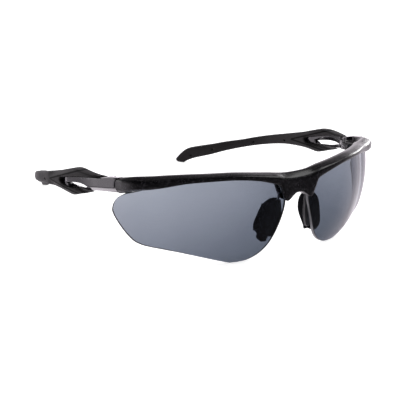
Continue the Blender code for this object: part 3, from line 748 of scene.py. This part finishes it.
def brow_section(side, station, shrink=0.0):
    """One closed section of the front frame with rounded corners, pulled in by shrink all round."""
    front_x, front_y, rear_x, rear_y, bottom, ridge, top = station
    rise, face = top - ridge, ridge - bottom
    tilt = BRIDGE_TILT * max(0.0, face - 2.5) if front_x <= BRIDGE_END else 0.0
    corner = 0.05 + 0.22 * clamp((front_x - 56.0) / 8.0)
    shape = [
        (corner, bottom, tilt), (0.0, bottom + 0.3 * face, tilt), (0.0, ridge, 0.0),
        (0.13, ridge + 0.5 * rise, 0.0), (0.5, top - 0.03 * rise, 0.0), (0.68, top, 0.0),
        (0.95, top - 0.35 * rise, 0.0), (1.0, ridge - 0.1 * face, 0.0),
        (1.0, bottom + 0.25 * face, 0.0), (0.93, bottom, 0.0),
    ]
    depth = hypot(rear_x - front_x, rear_y - front_y)
    flat = [(across * depth, height, forward) for across, height, forward in shape]
    middle = (bottom + top) / 2
    points = []
    for across, height, forward in rounded(flat, 0.55):
        across += (depth / 2 - across) * shrink / (depth / 2)
        height += (middle - height) * shrink / max(1.0, (top - bottom) / 2)
        share = across / depth
        x = front_x + share * (rear_x - front_x)
        y = front_y + share * (rear_y - front_y) - forward
        points.append((side * x, y, height))
    return points


def bow(y, z, middle, half):
    """How far a point near the seam moves forward, so that the seam bows back at half its height."""
    near = clamp(1.0 - abs(y - SEAM_Y) / SEAM_BOW_REACH)
    return SEAM_BOW * near * min(1.0, abs(z - middle) / half) ** 2


def bowed(section, station, back=0.0):
    """A section moved forward by the seam's bow, and back by a set amount."""
    bottom, top = station[4], station[6]
    middle, half = (bottom + top) / 2, (top - bottom) / 2
    return [(x, y + back - bow(y, z, middle, half), z) for x, y, z in section]


def brow_stations():
    """Sections of one half of the front frame, from the bridge to the seam."""
    mirrored = [(-row[0], row[1], -row[2], *row[3:]) for row in reversed(BROW[1:4])]
    smooth = mirrored + BROW
    stations = []
    for x, low in flow(BRIDGE_EDGE, 0.45):
        row = [value_at(x, [(knot[0], knot[part]) for knot in smooth]) for part in range(7)]
        row[0] = row[2] = x
        row[4] = low
        stations.append(row)
    rest = [list(row) for row in flow(BROW[2:], 0.8)]
    return stations + rest[1:]


def make_front_frame(material):
    """Brow bar, bridge, prongs, grooves and the outer knuckles, in one moulding."""
    half = brow_stations()
    rings = {}
    for side in SIDES.values():
        rings[side] = [bowed(brow_section(side, row), row) for row in half]
        rings[side].append(bowed(brow_section(side, half[-1], SEAM_BEVEL), half[-1], SEAM_SETBACK))
    run = list(reversed(rings[-1.0][1:])) + rings[1.0]
    body = loft("brow_frame", [[world(*p) for p in ring] for ring in run], material, 50.0)
    arms = [knuckle(word + level, side, *KNUCKLES[level], SEAM_Y - 2.4)
            for word, side in SIDES.items() for level in ("lower", "upper")]
    apply_boolean(body, arms, "UNION")
    cuts = []
    for word, side in SIDES.items():
        cuts.append(lens_groove(word, side))
        cuts.append(hinge_bore(word, side, FRAME_BORE))
        x, y, _ = CARRIER_PATH[0]
        cuts.append(cylinder(word + "_socket", side * x, y, STUB_BOTTOM, STUB_TOP + 0.3,
                             STUB_RADIUS + 0.05, None))
    apply_boolean(body, cuts, "DIFFERENCE")
    return body


def hinge_bore(word, side, span):
    """The tool for the hinge screw's hole, between two heights."""
    return cylinder(word + "_bore", side * HINGE[0], HINGE[1], *span, BORE_RADIUS, None)


def knuckle(name, side, low, high, root_y):
    """A hinge knuckle: a round eye with an arm to its root, its edges bevelled."""
    toward = 1.0 if root_y > HINGE[1] else -1.0
    reach, flare = (0.9, 0.1) if toward < 0 else (1.2, 1.4)
    rings = []
    bevel = 0.18
    for inset, z in ((bevel, low), (0.0, low + bevel), (0.0, high - bevel), (bevel, high)):
        radius = KNUCKLE_RADIUS - inset
        angles = [pi * k / 20 for k in range(21)]
        eye = [(HINGE[0] + radius * cos(a), HINGE[1] - toward * radius * sin(a)) for a in angles]
        eye.append((HINGE[0] - radius + reach, root_y))
        eye.append((HINGE[0] + radius + flare, root_y))
        rings.append([world(side * x, y, z) for x, y in eye])
    return loft(name, rings, None)


def temple_frame(y):
    """Centre line point and outward direction of a temple at a depth y, on the left side."""
    x = value_at(y, TEMPLE_PLAN)
    slope = value_at(y + 0.5, TEMPLE_PLAN) - value_at(y - 0.5, TEMPLE_PLAN)
    length = sqrt(1.0 + slope ** 2)
    return x, 1.0 / length, -slope / length


def temple_place(side, face):
    """A mapping from a side outline (y, z) to the bent temple, offset outwards by face."""

    def place(y, z, layer, depth):
        x, out_x, out_y = temple_frame(y)
        offset = face(y, z, layer, depth)
        lean = clamp((y - 30.0) / 20.0)
        return world(side * (x + offset * out_x), y + lean * offset * out_y, z)

    return place


def core_face(y, z, layer, depth):
    """The core's faces: an outer face with a hollow chamfer under it, and rounded edges."""
    if layer < 0:
        return value_at(y, CORE_INNER) + 0.3 * round_off(depth, 0.35)
    outer = value_at(y, CORE_OUTER)
    drop = 0.35 * round_off(depth, 0.45)
    height = value_at(y, CHAMFER_HEIGHT)
    if height > 0.05:
        above = z - value_at(y, CORE_LOWER)
        step = 0.35 * clamp((height + 0.3 - above) / 0.3)
        drop = max(drop, step + 2.1 * clamp(1.0 - above / height))
    return outer - drop


def channel_face(y, z, layer, depth):
    """The faces of the tang's channel: the core's faces with a gap."""
    if layer < 0:
        return value_at(y, CORE_INNER) - 0.3
    return value_at(y, CORE_OUTER) + 0.3


def core_edge():
    """The core's side outline, its front end bowed to match the seam."""
    low, high = CORE_LOWER[0][1], CORE_OUTLINE[-1][-1][1]
    middle, half = (low + high) / 2, (high - low) / 2
    edge = outline(CORE_OUTLINE, 0.9)
    edge += [(CORE_FRONT, high - (high - low) * k / 8) for k in range(1, 8)]
    return [(y - bow(y, z, middle, half), z) for y, z in edge]


def funnel(edge, window, place):
    """Widen a window towards the inner face, leaving the outline of the blade where it is."""

    def widened(y, z, layer, depth):
        if layer < 0:
            far, near = (distance_to(ring, np.array([(y, z)]))[0] for ring in (edge, window))
            share = far / (far + near + 1e-6)
            lift = value_at(y, WINDOW_LIFT) if z > value_at(y, WINDOW_MIDDLE) else -0.5
            y, z = y - share * value_at(y, WINDOW_REACH), z + share * lift
        return place(y, z, layer, depth)

    return widened


def make_core(word, side, material):
    """Hard temple core: hinge knuckle, open blade and the tang inside the sleeve."""
    edge, window = core_edge(), outline(WINDOW_OUTLINE, 0.7)
    place = funnel(edge, window, temple_place(side, core_face))
    core = plate(word + "_temple_blade", edge, (1.0, 0.5), (0.1, 0.25, 0.45), place, material, 34.0,
                 window)
    eye = knuckle(word + "_eye", side, *KNUCKLES["middle"], HINGE[1] + 4.2)
    apply_boolean(core, [eye], "UNION")
    apply_boolean(core, [hinge_bore(word, side, CORE_BORE)], "DIFFERENCE")
    return core


def sleeve_face(y, z, layer, depth):
    """The sleeve's faces: rounded rims and, outside, two facets that open from a point."""
    top = value_at(y, SLEEVE_TOP)
    low = value_at(y, list(reversed(SLEEVE_BOTTOM)))
    radius = min(0.9, 0.3 * (top - low))
    across = min(1.0, abs(z - (top + low) / 2) / max(0.8, (top - low) / 2))
    if layer < 0:
        return 0.5 * across ** 2 + radius * round_off(depth, radius) - value_at(y, SLEEVE_INNER)
    fade = clamp((CREASE_POINT[0] + 1.5 - y) / 4.0)
    above = max(0.0, z - line_at(y, CREASE_UPPER))
    below = max(0.0, value_at(y, CREASE_LOWER) - z)
    facet = CREASE_SLOPE * (above + below) * fade
    crown = 0.5 * (1.0 - fade) * across ** 2
    half = value_at(y, SLEEVE_OUTER)
    rim = 0.6 * radius * round_off(depth, 0.6 * radius)
    return max(half - rim - crown - facet, 0.3 - value_at(y, SLEEVE_INNER) + radius)


def make_sleeve(word, side, material):
    """Soft forked ear sleeve with moulded dimples, hollow along the core's tang."""
    sleeve = plate(word + "_ear_sleeve", outline(SLEEVE_OUTLINE, 0.9), (1.0, 0.7),
                   (0.08, 0.2, 0.4, 0.65, 0.95), temple_place(side, sleeve_face), material, 42.0)
    channel = plate(word + "_channel", outline(CHANNEL_OUTLINE, 4.0), (3.0, 3.0), (0.8,),
                    temple_place(side, channel_face), None)
    pits = [pit(side, y, z, layer) for y, z in DIMPLES for layer in (1.0, -1.0)]
    join(pits[0], pits[1:])
    apply_boolean(sleeve, [channel, pits[0]], "DIFFERENCE")
    return sleeve


def pit(side, y, z, layer):
    """A short round plug that cuts one dimple, on the sleeve's outer (+1) or inner (-1) face."""
    x, out_x, out_y = temple_frame(y)
    face = sleeve_face(y, z, layer, 3.0)
    rings = []
    for rise, share in ((-DIMPLE_DEPTH, 0.75), (-0.2, 1.0), (0.6, 1.25)):
        offset, radius = face + layer * rise, share * DIMPLE_RADIUS
        ring = []
        for k in range(16):
            angle = 2 * pi * k / 16
            along, up = radius * cos(angle), radius * sin(angle)
            ring.append(world(side * (x + offset * out_x - along * out_y),
                              y + offset * out_y + along * out_x, z + up))
        rings.append(ring)
    return loft("pit", rings, None)


def make_screw(word, side, material):
    """Hinge screw: a shank through the knuckles and a slotted head under them."""
    x, y = side * HINGE[0], HINGE[1]
    low, high = KNUCKLES["lower"][0] - 0.3, KNUCKLES["upper"][1] - 0.2
    profile = [
        (1.0, low - 0.6), (1.18, low - 0.45), (1.2, low - 0.1), (1.1, low),
        (0.68, low + 0.05), (0.7, low + 0.3), (0.7, high - 0.15), (0.55, high),
    ]
    screw = loft(word + "_hinge_pin", [circle(x, y, z, r, 32) for r, z in profile], material)
    corners = ((-1.5, -0.16), (1.5, -0.16), (1.5, 0.16), (-1.5, 0.16))
    slot = [[world(x + u, y + v, z) for u, v in corners] for z in (low - 0.9, low - 0.3)]
    apply_boolean(screw, [loft("slot", slot, None)], "DIFFERENCE")
    return screw


def make_stub(word, side, material):
    """Wire stub that the nose pad's carrier turns on."""
    x, y, _ = CARRIER_PATH[0]
    return cylinder(word + "_pad_wire", side * x, y, STUB_BOTTOM, STUB_TOP, STUB_RADIUS, material,
                    24, 0.1)


def make_carrier(word, side, material):
    """Hard bar behind the nasal edge of the lens, with a groove down its nose side."""
    half_x, half_y = CARRIER_HALF
    rings = []
    path = flow(CARRIER_PATH, 0.8)
    for k, (x, y, z) in enumerate(path):
        ends = min(k, len(path) - 1 - k)
        scale = (0.72, 0.92, 1.0)[min(ends, 2)]
        ring = []
        for j in range(32):
            angle = 2 * pi * j / 32
            c, s = cos(angle), sin(angle)
            groove = 0.28 * max(0.0, 1.0 - abs(atan2(s, -c)) / 0.35)
            u = (half_x * scale - groove) * copysign(abs(c) ** CARRIER_POWER, c)
            v = half_y * scale * copysign(abs(s) ** CARRIER_POWER, s)
            ring.append(world(side * (x + u), y + v, z))
        rings.append(ring)
    carrier = loft(word + "_pad_bar", rings, material, 60.0)
    x, y, _ = CARRIER_PATH[0]
    hole = cylinder("hole", side * x, y, STUB_BOTTOM - 0.3, STUB_TOP, STUB_RADIUS + 0.05, None)
    apply_boolean(carrier, [hole], "DIFFERENCE")
    return carrier


def pad_section(z, share):
    """The V of a left nose pad at one height, as points (x, y, how far it is lifted)."""
    rows = sorted((row[2], row[0], row[1]) for row in flow(CARRIER_PATH, 0.5))
    x = value_at(z, [(row[0], row[1]) for row in rows])
    y = value_at(z, [(row[0], row[2]) for row in rows])
    wing = (sin(radians(PAD_SPLAY)), cos(radians(PAD_SPLAY)))
    normal = (wing[1], -wing[0])
    front = y - PAD_FRONT
    clear = CARRIER_HALF[0] + PAD_GAP
    root_x, root_y = x - 0.2, y + CARRIER_HALF[1] + PAD_GAP
    reach = PAD_WING * share
    flange = PAD_FLANGE * share
    back = (root_x + wing[0] * reach, root_y + wing[1] * reach - 1.6)
    lift = WING_LIFT * (PAD_LEVELS[0][0] - z) / (PAD_LEVELS[0][0] - PAD_LEVELS[-1][0])
    return [
        (root_x - 0.5, root_y, 0.0),
        (back[0] - 0.5, back[1], lift),
        (back[0] + 0.5, back[1] + 0.5, lift),
        (back[0] + normal[0] * PAD_THICKNESS, back[1] + normal[1] * PAD_THICKNESS, lift),
        (root_x + normal[0] * PAD_THICKNESS + 1.0, root_y + normal[1] * PAD_THICKNESS + 1.9, 0.0),
        (x + clear + flange, front + 2.1, 0.0),
        (x + clear + flange + 0.3, front + 1.0, 0.0),
        (x + clear + flange, front + 0.35, 0.0),
        (x + clear, front + 0.1, 0.0),
        (x + clear, root_y, 0.0),
    ]


def make_pad(word, side, material):
    """Soft pad: a contact wing towards the nose and a flange behind the lens, braced by a truss."""
    rings = []
    for z, share in flow(PAD_LEVELS, 0.7):
        section = rounded([(x, y, z + up) for x, y, up in pad_section(z, share)], 0.5)
        rings.append([world(side * x, y, height) for x, y, height in section])
    pad = loft(word + "_pad_rubber", rings, material, 55.0)
    braces = []
    for low, high in BRACES:
        wing_end, flange_end = pad_section(low, BRACE_SHARE)[3], pad_section(high, BRACE_SHARE)[5]
        start = (wing_end[0], wing_end[1] - 0.9, low + 0.8)
        end = (flange_end[0] - 0.5, flange_end[1] - 0.6, high)
        braces.append(strut(side, start, end, BRACE_RADIUS))
    apply_boolean(pad, braces, "UNION")
    return pad


def strut(side, start, end, radius, sides=12):
    """A round bar between two points."""
    a, b = world(side * start[0], *start[1:]), world(side * end[0], *end[1:])
    along = (b - a).normalized()
    across = along.cross(Vector((0, 0, 1))).normalized()
    up = along.cross(across)
    angles = [2 * pi * k / sides for k in range(sides)]
    spokes = [(across * cos(angle) + up * sin(angle)) * radius * MM for angle in angles]
    return loft("strut", [[centre + spoke for spoke in spokes] for centre in (a, b)], None)


# ---------------------------------------------------------------- stage

def make_floor():
    """A plain white floor that gloss doesn't mirror, so the front of the glasses stays dark."""
    bpy.ops.mesh.primitive_plane_add(size=FLOOR_SIZE, location=(0.0, 0.0, -0.00005))
    floor = bpy.context.object
    floor.name = "floor"
    m = Surface("floor_white", 0.7, Specular_IOR_Level=0.1)
    m.shader.inputs["Base Color"].default_value = (0.92, 0.92, 0.925, 1.0)
    m.shader.inputs["Emission Color"].default_value = (1.0, 1.0, 1.0, 1.0)
    m.shader.inputs["Emission Strength"].default_value = FLOOR_GLOW
    floor.data.materials.append(m.material)
    floor.visible_glossy = False


def area_light(name, location, target, size, power, mirrored):
    """A soft rectangular light aimed at a point, mirrored in the gloss or not."""
    data = bpy.data.lights.new(name, "AREA")
    data.shape = "RECTANGLE"
    data.size, data.size_y = size
    data.energy = power
    light = bpy.data.objects.new(name, data)
    light.visible_glossy = mirrored
    light.location = location
    light.rotation_euler = (Vector(target) - Vector(location)).to_track_quat("-Z", "Y").to_euler()
    bpy.context.scene.collection.objects.link(light)


def make_studio():
    """White to the camera; to the rest, a lit back, a dark camera side and a dim top."""
    studio = bpy.data.worlds.new("studio")
    bpy.context.scene.world = studio
    studio.use_nodes = True
    n = Nodes(studio.node_tree, "Generated")
    parts = n.add("ShaderNodeSeparateXYZ", {0: n.place})
    light = STUDIO_TINT
    for axis, greys in (("Z", STUDIO_HEIGHT), ("Y", STUDIO_DEPTH), ("X", STUDIO_ACROSS)):
        share = n.add("ShaderNodeMapRange", {"Value": parts.outputs[axis], "From Min": -1.0})
        light = n.mix(1.0, light, n.ramp(share.outputs["Result"], greys), "MULTIPLY")
    seen = n.add("ShaderNodeLightPath").outputs["Is Camera Ray"]
    background = n.tree.nodes["Background"]
    n.tree.links.new(n.mix(seen, light, (1.0, 1.0, 1.0)), background.inputs["Color"])
    background.inputs["Strength"].default_value = STUDIO_STRENGTH


def make_camera():
    """The camera, by its direction from the target and its roll."""
    azimuth, elevation, roll = radians(VIEW_AZIMUTH), radians(VIEW_ELEVATION), radians(VIEW_ROLL)
    back = Vector((sin(azimuth) * cos(elevation), -cos(azimuth) * cos(elevation), sin(elevation)))
    level = Vector((cos(azimuth), sin(azimuth), 0.0))
    up = back.cross(level)
    right = level * cos(roll) + up * sin(roll)
    top = -level * sin(roll) + up * cos(roll)
    place = world(*VIEW_TARGET) + back * VIEW_DISTANCE * MM
    data = bpy.data.cameras.new("camera")
    data.sensor_width = VIEW_SENSOR
    data.lens = VIEW_LENS
    data.clip_start, data.clip_end = 0.01, 50.0
    camera = bpy.data.objects.new("camera", data)
    camera.matrix_world = Matrix((
        (right.x, top.x, back.x, place.x),
        (right.y, top.y, back.y, place.y),
        (right.z, top.z, back.z, place.z),
        (0.0, 0.0, 0.0, 1.0),
    ))
    bpy.context.scene.collection.objects.link(camera)
    bpy.context.scene.camera = camera


def main():
    """Build every piece and hang it on its body."""
    make_camera()
    # Painted light on the lens edges: a painted highlight by the nose, a painted dark outline
    # elsewhere.
    edges = (painted_edge_material("lens_edge_painted_highlight", 0.09, 0.15),
             painted_edge_material("lens_edge_painted_shade", 0.006, 0.012))
    black, gloss, rubber = frame_material(), core_material(), sleeve_material()
    silicone, satin = pad_material(), carrier_material()
    steel, smoke = steel_material(), lens_material()

    def hand_over(piece, node, body):
        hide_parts(node)
        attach(piece, body)

    hand_over(make_front_frame(black), "front_frame", "front")
    for word, side in SIDES.items():
        temple, nose = word + "_temple", word + "_nose_piece"
        hand_over(make_lens(word, side, smoke, edges), word + "_lens", "front")
        hand_over(make_screw(word, side, steel), word + "_hinge_screw", "front")
        hand_over(make_stub(word, side, steel), word + "_nose_pad_stub", "front")
        hand_over(make_core(word, side, gloss), word + "_temple_core", temple)
        hand_over(make_sleeve(word, side, rubber), word + "_temple_sleeve", temple)
        hand_over(make_carrier(word, side, satin), word + "_nose_pad_carrier", nose)
        hand_over(make_pad(word, side, silicone), word + "_nose_pad", nose)
    make_floor()
    make_studio()
    for name, place, size, power, mirrored in LIGHTS:
        area_light(name, place, LIGHT_TARGET, size, power, mirrored)
    bpy.context.scene.view_settings.view_transform = "Standard"


main()
